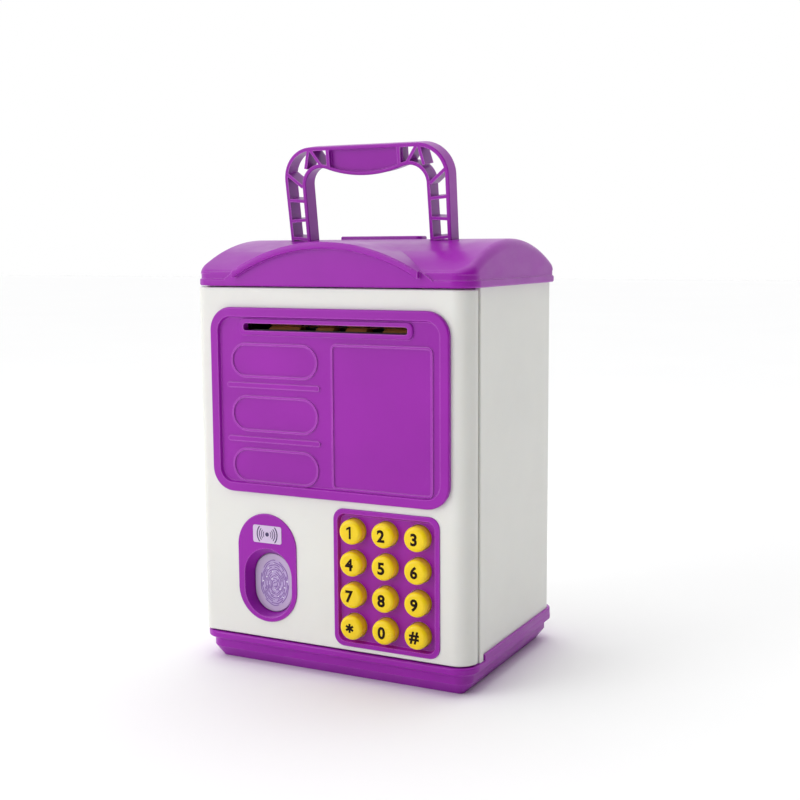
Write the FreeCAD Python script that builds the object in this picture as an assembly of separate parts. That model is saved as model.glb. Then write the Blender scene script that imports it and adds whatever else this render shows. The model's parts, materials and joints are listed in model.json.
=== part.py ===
import FreeCAD, Part
import math
import os
from FreeCAD import Rotation, Vector

# A toy cash machine savings bank. Millimetres. X to the right, Y to the back, Z up.
# The parts are drawn about the door and then moved, so that the origin is under the
# middle of the bank, on the surface that it stands on.
# The white case stands on a purple tray under a purple roof with a carrying handle.
# Its whole front is a door, hinged on the left, that carries the keypad, the
# fingerprint button, the note feeder, the batteries and the lock.

# ---- case ----
BODY_W = 134.0
BODY_D = 100.0
CORNER_R = 8.5
HINGE_CORNER_R = 4.5
WALL = 2.2
ROOF_OVERHANG = 1.35
BROW_PROUD = 2.5
FRONT_Y = -45.75
BACK_Y = FRONT_Y + BODY_D
SIDE_X = BODY_W / 2.0
GROUND_Z = -1.3
MIDDLE_Y = (FRONT_Y - BROW_PROUD + BACK_Y) / 2.0
PANEL_INSET = 0.5
BEAD_W = 4.0

# ---- base tray ----
DECK_Z = 11.7
RIM_Z = 14.3
FOOT_INSET = 5.9
BAND_INSET = 1.8
BEVEL_Z = 4.0
COVE_Z = 6.7
COVE_R = 1.9
LIP_OVERHANG = 0.95
LIP_R = 0.8
TRAY_FLOOR = 1.8
SCREW_X = 58.2
SCREW_Y = (-12.0, 44.0)

# ---- roof ----
ROOF_Z = 169.8
BAND_1_Z = 173.0
BAND_2_Z = 176.1
BAND_2_OVERHANG = 0.65
BAND_EDGE = 0.9
BAND_2_EDGE = 0.5
CREST_Z = 189.8
GABLE_R = 4.0
ROOF_WALL = 2.2
PEDIMENT_TOP_Z = 188.8
PEDIMENT_X = 46.1
PEDIMENT_FOOT_X = 50.6
BROW_T = 2.9
COIN_Y = 7.8
COLLAR_TOP_Z = 191.3
COLLAR_LENGTH = 41.8
COLLAR_WIDTH = 8.4
COIN_SLOT = (31.0, 3.6)

# ---- handle ----
LEG_Y = -1.2
PIVOT_Z = 182.0
HANDLE_TOP_Z = 232.2
HANDLE_DEPTH = 8.5
HANDLE_BAND = 1.7
HANDLE_LEAN = 8.0
HANDLE_FOOT_X = 40.6
HANDLE_SHOULDER_X = 41.3
HANDLE_GAP_X = 30.4
STUD_R = 2.0
STUD_FIT = 0.05
STUD_TIP_X = 45.2

# ---- door ----
DOOR_Z = (12.2, 169.3)
DOOR_DEPTH = 8.55
DOOR_WALL = 2.4
DOOR_BACK_Y = FRONT_Y + DOOR_DEPTH
INNER_Y = FRONT_Y + DOOR_WALL
SEAM = 2.1
BODY_FRONT_Y = DOOR_BACK_Y + SEAM
HINGE_X = -SIDE_X + 3.8
HINGE_Y = FRONT_Y + 6.2
HINGE_PIN_R = 1.5
HINGE_FIT = 0.05
HINGE_BOSS_R = 3.5

# ---- slot panel ----
PANEL_X = 58.4
PANEL_Z = (78.4, 160.6)
PANEL_R = 10.5
PANEL_PROUD = 2.0
PANEL_BORDER = 4.0
PANEL_RECESS = 1.5
PLUG_X = 47.8
PLUG_Z = (84.2, 155.8)
SLOT_X = (-41.0, 39.5)
SLOT_Z = (150.5, 153.7)
SLOT_RIM_X = (-43.4, 41.9)
SLOT_RIM_Z = (148.5, 155.7)
RIB = 0.9

# ---- keypad ----
KEYPAD_X = (2.7, 53.4)
KEYPAD_Z = (14.2, 75.1)
KEYPAD_R = 5.0
KEYPAD_PROUD = 0.6
KEYPAD_LAP = 1.0
KEYPAD_BORDER = 2.1
KEYPAD_FLOOR_Y = FRONT_Y + 1.2
KEYPAD_BACK_Y = KEYPAD_FLOOR_Y + 1.8
KEY_PITCH_X = 15.45
KEY_PITCH_Z = 14.0
KEY_X = 27.9
KEY_TOP_Z = 65.55
KEY_R = 5.4
KEY_EDGE_R = 1.7
KEY_FACE_Y = FRONT_Y - 3.8
KEY_TRAVEL = 1.5
KEY_NAMES = (("1", "2", "3"), ("4", "5", "6"), ("7", "8", "9"), ("star", "0", "hash"))
CLEARANCE = 0.3

# ---- fingerprint button ----
FINGER_X = (-46.8, -16.3)
FINGER_Z = (19.8, 69.1)
FINGER_PROUD = 0.6
SCOOP_X = (-43.5, -18.8)
SCOOP_Z = (21.8, 53.3)
LENS_X = (-41.5, -21.8)
LENS_Z = (23.1, 49.9)
LENS_Y = FRONT_Y + 4.75
LENS_T = 2.0
FINGER_BACK_Y = LENS_Y + 0.8
STICKER_X = (-38.5, -23.7)
STICKER_Z = (55.9, 63.8)
STICKER_T = 0.15

# ---- inside the door ----
BOARD_Y = FRONT_Y + 8.25
BOARD_T = 1.4
COVER_FLANGE_Y = (FRONT_Y + 8.75, FRONT_Y + 10.55)
COVER_BACK_Y = FRONT_Y + 24.75
COVER_X = (-50.0, 54.0)
COVER_Z = (20.0, 164.6)
COVER_T = 1.8
COVER_SCREWS = ((-53.0, 24.0), (-53.0, 93.0), (-53.0, 160.0), (57.0, 24.0), (57.0, 93.0), (57.0, 160.0))
NOTE_OUT_Z = (149.6, 157.0)
CELL_R = 7.1
CELL_L = 50.5
CELL_X = (10.0, 26.0, 42.0)
CELL_Y = FRONT_Y + 15.55
CELL_Z = 79.2
SPEAKER = (-27.0, 103.0)
SPEAKER_R = 14.0

# ---- note feeder ----
NIP_Z = 152.2
ROLLER_R = 4.5
NIP_GAP = 0.2
ROLLER_Y = FRONT_Y + 10.25
DRIVE_Z = NIP_Z - NIP_GAP / 2.0 - ROLLER_R
IDLER_Z = NIP_Z + NIP_GAP / 2.0 + ROLLER_R
SHAFT_R = 1.5
SHAFT_FIT = 0.05
ROLLER_SPANS = ((-33.2, -17.3), (-9.3, -0.5), (5.4, 15.7), (23.5, 35.3))
BEARING_X = (41.2, 43.2)
GEAR_X = (43.9, 47.2)
MODULE = 0.6
ROLLER_TEETH = 22
TRAIN_TEETH = 18
PINION_TEETH = 12
LINK_TEETH = 16
LINK_MODULE = (IDLER_Z - DRIVE_Z) / LINK_TEETH
TRAIN_ANGLE = -65.0
TRAIN_REACH = MODULE * (ROLLER_TEETH + TRAIN_TEETH) / 2.0
TRAIN_Y = ROLLER_Y + TRAIN_REACH * math.cos(math.radians(TRAIN_ANGLE))
TRAIN_Z = DRIVE_Z + TRAIN_REACH * math.sin(math.radians(TRAIN_ANGLE))
MOTOR_Z = TRAIN_Z - MODULE * (TRAIN_TEETH + PINION_TEETH) / 2.0
MOTOR_R = 7.2
TRAIN_PIN_R = 1.0
MOTOR_SHAFT_R = 0.75

# ---- lock ----
BOLT_Y = (-32.0, -26.0)
BOLT_Z = (43.5, 48.5)
BOLT_TIP_X = 59.3
BOLT_PLAY = 0.5


# ---- helpers ----

def box(x, y, z):
    """A box from three (low, high) pairs."""
    return Part.makeBox(x[1] - x[0], y[1] - y[0], z[1] - z[0], Vector(x[0], y[0], z[0]))


def rod(radius, start, end):
    """A cylinder from one point to another."""
    axis = Vector(*end) - Vector(*start)
    return Part.makeCylinder(radius, axis.Length, Vector(*start), axis)


def mirror_x(shape):
    """The shape's mirror image across the middle plane."""
    return shape.mirror(Vector(0, 0, 0), Vector(1, 0, 0))


def rounded_wire(x, y, radius, z=0.0):
    """A rounded rectangle in a level plane, from (low, high) pairs."""
    r = min(radius, (x[1] - x[0]) / 2.0, (y[1] - y[0]) / 2.0)
    lean = r * (1.0 - math.sqrt(0.5))
    edges = []
    corners = ((x[1], y[0], -1, 1), (x[1], y[1], -1, -1), (x[0], y[1], 1, -1), (x[0], y[0], 1, 1))
    ends = []
    for index, (cx, cy, sx, sy) in enumerate(corners):
        along_x = Vector(cx + sx * r, cy, z)
        along_y = Vector(cx, cy + sy * r, z)
        middle = Vector(cx + sx * lean, cy + sy * lean, z)
        first, last = (along_x, along_y) if index % 2 == 0 else (along_y, along_x)
        ends.append((first, middle, last))
    for index, (first, middle, last) in enumerate(ends):
        previous = ends[index - 1][2]
        if previous.distanceToPoint(first) > 1e-6:
            edges.append(Part.LineSegment(previous, first).toShape())
        edges.append(Part.Arc(first, middle, last).toShape())
    return Part.Wire(edges)


def plan_block(x, y, z, radius):
    """A block with its four upright edges rounded."""
    face = Part.Face(rounded_wire(x, y, radius, z[0]))
    return face.extrude(Vector(0, 0, z[1] - z[0]))


def facing(shape):
    """Turn a shape drawn flat, with its height along Y, to stand up and face the front."""
    shape.rotate(Vector(0, 0, 0), Vector(1, 0, 0), 90)
    return shape


def front_block(x, z, y, radius):
    """A plate that faces the front, with its four corners rounded."""
    return facing(plan_block(x, z, (-y[1], -y[0]), radius))


def front_taper(outer, inner, y):
    """A hollow's solid that narrows from its outer rounded rectangle to its inner one."""
    wires = [rounded_wire(outer[0], outer[1], outer[2], -y[0])]
    wires.append(rounded_wire(inner[0], inner[1], inner[2], -y[1]))
    return facing(Part.makeLoft(wires, True, True))


def grown(pair, amount):
    """A (low, high) pair widened on both sides."""
    return (pair[0] - amount, pair[1] + amount)


def arc_step(out, z, radius, start, end):
    """The middle and the end of an arc about a centre, as one step of a moulding."""
    angles = (math.radians((start + end) / 2.0), math.radians(end))
    return tuple((out + radius * math.cos(angle), z + radius * math.sin(angle)) for angle in angles)


def moulding_face(steps):
    """The half section of a moulding, from a corner's axis out to its (overhang, height) steps."""
    def at(point):
        return Vector(CORNER_R + point[0], 0, point[1])
    start = at(steps[0])
    here = start
    edges = []
    for step in steps[1:]:
        if isinstance(step[0], tuple):
            there = at(step[1])
            edges.append(Part.Arc(here, at(step[0]), there).toShape())
        else:
            there = at(step)
            edges.append(Part.LineSegment(here, there).toShape())
        here = there
    rest = [here, Vector(0, 0, here.z), Vector(0, 0, start.z), start]
    edges += [Part.LineSegment(first, last).toShape() for first, last in zip(rest, rest[1:])]
    return Part.Face(Part.Wire(edges))


def moulding(steps):
    """A solid whose sides follow (overhang, height) steps round the case's outline."""
    face = moulding_face(steps)
    x = SIDE_X - CORNER_R
    y = (FRONT_Y + CORNER_R, BACK_Y - CORNER_R)
    z = sorted(vertex.Z for vertex in face.Vertexes)
    corners = ((x, y[1]), (-x, y[1]), (-x, y[0]), (x, y[0]))
    pieces = [box((-x, x), y, (z[0], z[-1]))]
    for quadrant, centre in enumerate(corners):
        run = 2.0 * x if quadrant % 2 == 0 else y[1] - y[0]
        corner = face.revolve(Vector(0, 0, 0), Vector(0, 0, 1), 90)
        end = face.copy()
        end.rotate(Vector(0, 0, 0), Vector(0, 0, 1), 90)
        for piece in (corner, end.extrude(Vector(-run, 0, 0))):
            piece.rotate(Vector(0, 0, 0), Vector(0, 0, 1), 90 * quadrant)
            piece.translate(Vector(centre[0], centre[1], 0))
            pieces.append(piece)
    return fuse(pieces)


def fuse(shapes):
    """All the shapes as one solid."""
    whole = shapes[0]
    if len(shapes) > 1:
        whole = whole.fuse(shapes[1:])
    return whole.removeSplitter()


def group(shapes):
    """Separate solids kept as one group."""
    return Part.makeCompound(shapes)


def rounded(shape, radius, chosen):
    """The shape with the chosen edges rounded."""
    return shape.makeFillet(radius, [edge for edge in shape.Edges if chosen(edge)])


def level_edges(axis, value, tolerance=1e-3):
    """A test for edges that lie wholly in the plane where an axis has a value."""
    def test(edge):
        bound = edge.BoundBox
        low, high = {"x": (bound.XMin, bound.XMax), "y": (bound.YMin, bound.YMax),
                     "z": (bound.ZMin, bound.ZMax)}[axis]
        return abs(low - value) < tolerance + 0.01 and abs(high - value) < tolerance + 0.01
    return test


def screw(head, tip, head_r=2.6, head_h=1.9, shank_r=1.3):
    """A pan-head screw from the top of its head to its tip, with a cross recess."""
    axis = (Vector(*tip) - Vector(*head)).normalize()
    under = Vector(*head) + axis * head_h
    body = rod(head_r, head, tuple(under))
    body = body.fuse(rod(shank_r, tuple(under), tip))
    along = Rotation(Vector(0, 0, 1), axis)
    for turn in (0, 90):
        blade = Part.makeBox(3.2, 0.6, 2.0, Vector(-1.6, -0.3, -1.0))
        blade.rotate(Vector(0, 0, 0), Vector(0, 0, 1), turn)
        blade.Placement = FreeCAD.Placement(Vector(*head), along).multiply(blade.Placement)
        body = body.cut(blade)
    return body


def gear(teeth, module, x, centre, tooth_angle, bore_r):
    """A spur gear on an axis along X, with one tooth centred on the given angle."""
    pressure = math.radians(25.0)
    pitch_r = teeth * module / 2.0
    base_r = pitch_r * math.cos(pressure)
    tip_r = pitch_r + 0.8 * module
    root_r = pitch_r - 1.05 * module
    half_pitch_angle = math.pi / (2.0 * teeth) - 0.045 * module / pitch_r
    involute = math.tan(pressure) - pressure
    radii = [max(base_r, root_r) + (tip_r - max(base_r, root_r)) * step / 3.0 for step in range(4)]
    flank = []
    for radius in radii:
        turn = math.acos(min(1.0, base_r / radius))
        flank.append((radius, half_pitch_angle + involute - (math.tan(turn) - turn)))
    flank.insert(0, (root_r - 0.02, flank[0][1]))
    tooth_points = [(radius, -half) for radius, half in flank]
    tooth_points += [(radius, half) for radius, half in reversed(flank)]
    body = Part.makeCylinder(root_r, x[1] - x[0], Vector(x[0], 0, 0), Vector(1, 0, 0))
    blanks = []
    for index in range(teeth):
        middle = math.radians(tooth_angle) + 2.0 * math.pi * index / teeth
        points = [Vector(x[0], r * math.cos(middle + a), r * math.sin(middle + a)) for r, a in tooth_points]
        wire = Part.makePolygon(points + [points[0]])
        blanks.append(Part.Face(wire).extrude(Vector(x[1] - x[0], 0, 0)))
    body = body.fuse(blanks).removeSplitter()
    hole = Part.makeCylinder(bore_r, x[1] - x[0] + 2, Vector(x[0] - 1, 0, 0), Vector(1, 0, 0))
    body = body.cut(hole)
    body.translate(Vector(0, centre[0], centre[1]))
    return body


# ---- base, body and roof ----

def screw_places():
    """Plan positions of the four long case screws."""
    return [(side * SCREW_X, y) for side in (-1, 1) for y in SCREW_Y]


def base_tray():
    """Stepped purple tray with a rim round the sides and back."""
    under_lip = COVE_Z + COVE_R
    lip_out = LIP_OVERHANG - LIP_R
    tray = moulding([(-FOOT_INSET, GROUND_Z), (-BAND_INSET, BEVEL_Z), (-BAND_INSET, COVE_Z),
                     arc_step(COVE_R - BAND_INSET, COVE_Z, COVE_R, 180, 90), (lip_out, under_lip),
                     arc_step(lip_out, under_lip + LIP_R, LIP_R, -90, 0), (LIP_OVERHANG, DECK_Z - LIP_R),
                     arc_step(lip_out, DECK_Z - LIP_R, LIP_R, 0, 90)])
    rim_out = LIP_OVERHANG - 0.15
    rim = plan_block(grown((-SIDE_X, SIDE_X), rim_out), grown((FRONT_Y, BACK_Y), rim_out),
                     (DECK_Z - 2.0, RIM_Z), CORNER_R + rim_out)
    rim = rounded(rim, 0.6, level_edges("z", RIM_Z))
    hollow = plan_block((-SIDE_X + PANEL_INSET - 0.1, SIDE_X - PANEL_INSET + 0.1),
                        (FRONT_Y - 20.0, BACK_Y - PANEL_INSET + 0.1), (DECK_Z, RIM_Z + 1), CORNER_R)
    rim_start = BODY_FRONT_Y + BEAD_W + 0.2
    rim = rim.cut([hollow, box((-90, 90), (-90, rim_start), (0, 40))])
    tray = tray.fuse(rim).removeSplitter()
    pocket = plan_block((-SIDE_X + 5.5, SIDE_X - 5.5), (BODY_FRONT_Y + 4.0, BACK_Y - 5.5),
                        (TRAY_FLOOR, RIM_Z), 4.0)
    tray = tray.cut(pocket)
    posts = [rod(4.0, (x, y, TRAY_FLOOR - 1.0), (x, y, DECK_Z)) for x, y in screw_places()]
    tray = tray.fuse(posts).removeSplitter()
    below = GROUND_Z - 1.0
    cuts = [rod(1.6, (x, y, below), (x, y, DECK_Z + 1)) for x, y in screw_places()]
    cuts += [rod(3.1, (x, y, below), (x, y, GROUND_Z + 2.4)) for x, y in screw_places()]
    cuts.append(rod(HINGE_PIN_R + HINGE_FIT, (HINGE_X, HINGE_Y, DECK_Z - 6.0), (HINGE_X, HINGE_Y, 20)))
    cuts.append(plan_block((-52.0, 58.0), (FRONT_Y + 6.5, BODY_FRONT_Y + 1.0), (below, DECK_Z - 2.9), 3.0))
    return tray.cut(cuts)


def body_shell():
    """White wrap-round case: both sides and the back, with a raised bead along its front edges."""
    skin_x = SIDE_X - PANEL_INSET
    inner_x = skin_x - WALL
    outer = plan_block((-skin_x, skin_x), (FRONT_Y - 20, BACK_Y - PANEL_INSET), (DECK_Z, ROOF_Z), CORNER_R)
    inner = plan_block((-inner_x, inner_x), (FRONT_Y - 30, BACK_Y - PANEL_INSET - WALL),
                       (DECK_Z - 1, ROOF_Z + 1), CORNER_R - WALL)
    shell = outer.cut([inner, box((-90, 90), (-90, BODY_FRONT_Y), (0, 200))])
    bead = box((inner_x, SIDE_X), (BODY_FRONT_Y, BODY_FRONT_Y + BEAD_W), (DECK_Z, ROOF_Z))
    bead = rounded(bead, 0.7, lambda edge: edge.Length > 100 and edge.BoundBox.XMin > SIDE_X - 0.1)
    keeper = box((inner_x - 3.4, inner_x + 0.2), grown(BOLT_Y, 2.0), grown(BOLT_Z, 2.5))
    pieces = [shell, bead, mirror_x(bead), keeper]
    for x, y in screw_places():
        side = 1 if x > 0 else -1
        web_x = sorted((x, side * (inner_x + 0.2)))
        for low, high in ((DECK_Z, DECK_Z + 14.0), (ROOF_Z - 12.0, ROOF_Z)):
            pieces.append(rod(4.0, (x, y, low), (x, y, high)))
            pieces.append(box(web_x, (y - 1.2, y + 1.2), (low, high)))
    shell = fuse(pieces)
    cuts = [box((inner_x - 4, inner_x), grown(BOLT_Y, BOLT_PLAY), grown(BOLT_Z, BOLT_PLAY))]
    for x, y in screw_places():
        cuts.append(rod(1.3, (x, y, DECK_Z - 1), (x, y, DECK_Z + 11.0)))
        cuts.append(rod(1.6, (x, y, ROOF_Z - 13.0), (x, y, ROOF_Z + 1)))
    return shell.cut(cuts)


def vault(radius_cut, x_half, y_span, z_low):
    """A barrel roof's solid: a level cylinder along X above a plan rectangle."""
    half_chord = (BODY_D / 2.0) + BAND_2_OVERHANG
    rise = CREST_Z - BAND_2_Z
    radius = (half_chord ** 2 + rise ** 2) / (2.0 * rise)
    middle_y = (FRONT_Y + BACK_Y) / 2.0
    barrel = Part.makeCylinder(radius - radius_cut, 2.0 * x_half, Vector(-x_half, middle_y, CREST_Z - radius),
                               Vector(1, 0, 0))
    barrel.rotate(Vector(0, middle_y, CREST_Z - radius), Vector(1, 0, 0), 180)
    return barrel.common(plan_block((-x_half, x_half), y_span, (z_low, CREST_Z + 1), CORNER_R))


def pediment_profile():
    """The arched front's face, drawn flat: an arch over a sill, as a wire."""
    low_z = ROOF_Z + 1.0
    left = Vector(-PEDIMENT_X, BAND_2_Z, 0)
    right = Vector(PEDIMENT_X, BAND_2_Z, 0)
    arch = Part.Arc(right, Vector(0, PEDIMENT_TOP_Z, 0), left)
    sill = PEDIMENT_FOOT_X
    points = [left, Vector(-sill, BAND_1_Z, 0), Vector(-sill, low_z, 0), Vector(sill, low_z, 0),
              Vector(sill, BAND_1_Z, 0), right]
    edges = [arch.toShape()]
    edges += [Part.LineSegment(a, b).toShape() for a, b in zip(points, points[1:])]
    return Part.Wire(edges)


def brow():
    """The raised arch along the top of the pediment."""
    arch_rise = PEDIMENT_TOP_Z - BAND_2_Z
    radius = (PEDIMENT_X ** 2 + arch_rise ** 2) / (2.0 * arch_rise)
    centre_z = PEDIMENT_TOP_Z - radius
    front = FRONT_Y - ROOF_OVERHANG - BROW_PROUD
    outer = Part.makeCylinder(radius, BROW_PROUD + 1.0, Vector(0, front, centre_z), Vector(0, 1, 0))
    inner = Part.makeCylinder(radius - BROW_T, BROW_PROUD + 3.0, Vector(0, front - 1, centre_z), Vector(0, 1, 0))
    ring = outer.cut(inner)
    reach = 45.2
    piece = ring.common(box((-reach, reach), (front - 1, front + 10), (BAND_2_Z - 2.4, CREST_Z)))
    return rounded(piece, 0.8, lambda e: e.Length > 30 and e.CenterOfMass.y < front + 0.1)


def handle_lug(side):
    """A plate under the roof that carries one of the handle's studs."""
    x = sorted((side * (HANDLE_FOOT_X + 1.3), side * (STUD_TIP_X + 0.4)))
    return box(x, (LEG_Y - 5.0, LEG_Y + 5.0), (BAND_2_Z, CREST_Z - 1.2))


def roof_shell():
    """Purple barrel roof with two bands, an arched front and a coin slot collar."""
    out = ROOF_OVERHANG - BAND_EDGE
    bands = moulding([(out, ROOF_Z), arc_step(out, ROOF_Z + BAND_EDGE, BAND_EDGE, -90, 0),
                      (ROOF_OVERHANG, BAND_1_Z - BAND_EDGE),
                      arc_step(out, BAND_1_Z - BAND_EDGE, BAND_EDGE, 0, 90)])
    upper = moulding([(BAND_2_OVERHANG, BAND_1_Z - 1.0), (BAND_2_OVERHANG, BAND_2_Z - BAND_2_EDGE),
                      arc_step(BAND_2_OVERHANG - BAND_2_EDGE, BAND_2_Z - BAND_2_EDGE, BAND_2_EDGE, 0, 90)])
    x_half = SIDE_X + BAND_2_OVERHANG
    y_span = grown((FRONT_Y, BACK_Y), BAND_2_OVERHANG)
    top = vault(0.0, x_half, y_span, BAND_2_Z - 1.0)
    top = rounded(top, GABLE_R, lambda e: e.BoundBox.ZMax > BAND_2_Z + 0.5 and e.BoundBox.ZMin > BAND_2_Z - 0.5)
    deep = 50.0
    pediment = facing(Part.Face(pediment_profile()).extrude(Vector(0, 0, deep)))
    pediment.translate(Vector(0, FRONT_Y - ROOF_OVERHANG + deep, 0))
    crown = fuse([bands, upper, top, pediment])
    collar = plan_block((-COLLAR_LENGTH / 2, COLLAR_LENGTH / 2), (COIN_Y - COLLAR_WIDTH / 2, COIN_Y + COLLAR_WIDTH / 2),
                        (CREST_Z - 6.0, COLLAR_TOP_Z), 2.4)
    collar = rounded(collar, 0.7, level_edges("z", COLLAR_TOP_Z))
    crown = fuse([crown, brow(), collar])
    hollow = vault(ROOF_WALL, SIDE_X - 4.5, (FRONT_Y + 4.5, BACK_Y - 4.5), ROOF_Z - 1.0)
    boss_tops = CREST_Z - 2.0
    bosses = [rod(4.0, (x, y, ROOF_Z), (x, y, CREST_Z)) for x, y in screw_places()]
    bosses.append(box((-SIDE_X, HINGE_X + 4.5), (FRONT_Y, HINGE_Y + 4.5), (ROOF_Z, BAND_2_Z)))
    bosses += [handle_lug(side) for side in (-1, 1)]
    bosses.append(box((-COLLAR_LENGTH / 2, COLLAR_LENGTH / 2), (COIN_Y - 4.2, COIN_Y + 4.2), (CREST_Z - 6.0, boss_tops)))
    hollow = hollow.cut(bosses)
    crown = crown.cut(hollow)
    skirt_x = SIDE_X - PANEL_INSET - WALL - 0.2
    cuts = []
    slot_length, slot_width = COIN_SLOT
    cuts.append(box((-slot_length / 2, slot_length / 2), (COIN_Y - slot_width / 2, COIN_Y + slot_width / 2),
                    (ROOF_Z, CREST_Z + 5)))
    for side in (-1, 1):
        hole_x = sorted((side * (HANDLE_GAP_X - 0.4), side * (HANDLE_FOOT_X + 0.9)))
        cuts.append(box(hole_x, (LEG_Y - 5.9, LEG_Y + 5.9), (BAND_2_Z - 1, CREST_Z + 5)))
        cuts.append(rod(STUD_R + STUD_FIT, (side * HANDLE_FOOT_X, LEG_Y, PIVOT_Z),
                        (side * (STUD_TIP_X + 2.0), LEG_Y, PIVOT_Z)))
    cuts += [rod(1.3, (x, y, ROOF_Z - 1), (x, y, 177.0)) for x, y in screw_places()]
    cuts.append(rod(HINGE_PIN_R + HINGE_FIT, (HINGE_X, HINGE_Y, ROOF_Z - 1), (HINGE_X, HINGE_Y, ROOF_Z + 5.0)))
    crown = crown.cut(cuts)
    skirt = plan_block((-skirt_x, skirt_x), (FRONT_Y, BACK_Y - PANEL_INSET - WALL - 0.2), (ROOF_Z - 2.0, ROOF_Z), 6.0)
    skirt = skirt.cut([plan_block((-skirt_x + 1.2, skirt_x - 1.2), (FRONT_Y - 1, BACK_Y - PANEL_INSET - WALL - 1.4),
                                  (ROOF_Z - 3.0, ROOF_Z + 1), 5.0),
                       box((-90, 90), (-90, 0.0), (0, 200))])
    skirt = skirt.cut([rod(4.6, (x, y, ROOF_Z - 3), (x, y, ROOF_Z)) for x, y in screw_places()])
    skirt = skirt.cut([box(sorted((side * (SCREW_X), side * 70)), (y - 2.0, y + 2.0), (ROOF_Z - 3, ROOF_Z))
                       for side in (-1, 1) for y in SCREW_Y])
    return fuse([crown, skirt])


def coin_guide():
    """A short chute that hangs under the coin slot."""
    low_z = 152.0
    top_z = CREST_Z - 6.0
    outer = box((-18.0, 18.0), (COIN_Y - 3.6, COIN_Y + 3.6), (low_z, top_z))
    inner = box((-16.5, 16.5), (COIN_Y - 2.2, COIN_Y + 2.2), (low_z - 1, top_z + 1))
    return outer.cut(inner)


def base_screws():
    """Four screws that go up through the tray into the case."""
    return group([screw((x, y, GROUND_Z + 0.4), (x, y, DECK_Z + 10.0), 2.9, 2.0) for x, y in screw_places()])


def roof_screws():
    """Four screws that go up through the case's tabs into the roof."""
    return group([screw((x, y, ROOF_Z - 14.0), (x, y, 176.0), 2.9, 2.0) for x, y in screw_places()])


# ---- handle ----

def handle_outline(grow):
    """The handle's outer edge, drawn flat and shrunk by an amount, as a closed wire."""
    foot_half, top_half = HANDLE_FOOT_X - grow, HANDLE_SHOULDER_X - grow
    corner_r = 14.5 - grow
    top = HANDLE_TOP_Z - grow
    foot = PIVOT_Z
    k = corner_r * (1.0 - math.sqrt(0.5))
    right = [Vector(foot_half, foot, 0), Vector(top_half, top - corner_r, 0)]
    arc_r = Part.Arc(right[1], Vector(top_half - k, top - k, 0), Vector(top_half - corner_r, top, 0))
    left = [Vector(-top_half, top - corner_r, 0), Vector(-foot_half, foot, 0)]
    arc_l = Part.Arc(Vector(-top_half + corner_r, top, 0), Vector(-top_half + k, top - k, 0), left[0])
    edges = [Part.LineSegment(right[0], right[1]).toShape(), arc_r.toShape(),
             Part.LineSegment(Vector(top_half - corner_r, top, 0), Vector(-top_half + corner_r, top, 0)).toShape(),
             arc_l.toShape(), Part.LineSegment(left[0], left[1]).toShape(),
             Part.LineSegment(left[1], right[0]).toShape()]
    return Part.Wire(edges)


def handle_gap(grow):
    """The handle's inner edge with its bellied grip, drawn flat and widened by an amount."""
    half = HANDLE_GAP_X + grow
    foot = PIVOT_Z - 20.0
    top = 222.8 + grow
    belly = 219.0 + grow
    corner_r = 8.0 + grow
    k = corner_r * (1.0 - math.sqrt(0.5))
    start = Vector(half, foot, 0)
    bend = Vector(half, top - corner_r, 0)
    shoulder = Vector(half - corner_r, top, 0)
    dip = 18.0
    side = [Part.LineSegment(start, bend).toShape(),
            Part.Arc(bend, Vector(half - k, top - k, 0), shoulder).toShape()]
    curve = Part.BSplineCurve()
    curve.interpolate([shoulder, Vector(dip, top - 0.9, 0), Vector(9.0, belly + 0.7, 0), Vector(0, belly, 0),
                       Vector(-9.0, belly + 0.7, 0), Vector(-dip, top - 0.9, 0), Vector(-half + corner_r, top, 0)],
                      InitialTangent=Vector(-1, 0, 0), FinalTangent=Vector(-1, 0, 0))
    side.append(curve.toShape())
    side.append(Part.Arc(Vector(-half + corner_r, top, 0), Vector(-half + k, top - k, 0),
                         Vector(-half, top - corner_r, 0)).toShape())
    side.append(Part.LineSegment(Vector(-half, top - corner_r, 0), Vector(-half, foot, 0)).toShape())
    side.append(Part.LineSegment(Vector(-half, foot, 0), start).toShape())
    return Part.Wire(side)


def upright(wire, depth):
    """A flat outline made into a plate of a depth about the handle's middle plane."""
    plate = facing(Part.Face(wire).extrude(Vector(0, 0, depth)))
    plate.translate(Vector(0, LEG_Y + depth / 2.0, 0))
    return plate


def strut(start, end, width, depth):
    """A straight truss bar between two (x, z) points, drawn in the handle's plane."""
    a, b = Vector(start[0], start[1], 0), Vector(end[0], end[1], 0)
    across = (b - a).normalize().cross(Vector(0, 0, 1)) * (width / 2.0)
    wire = Part.makePolygon([a + across, b + across, b - across, a - across, a + across])
    return upright(wire, depth)


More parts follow.
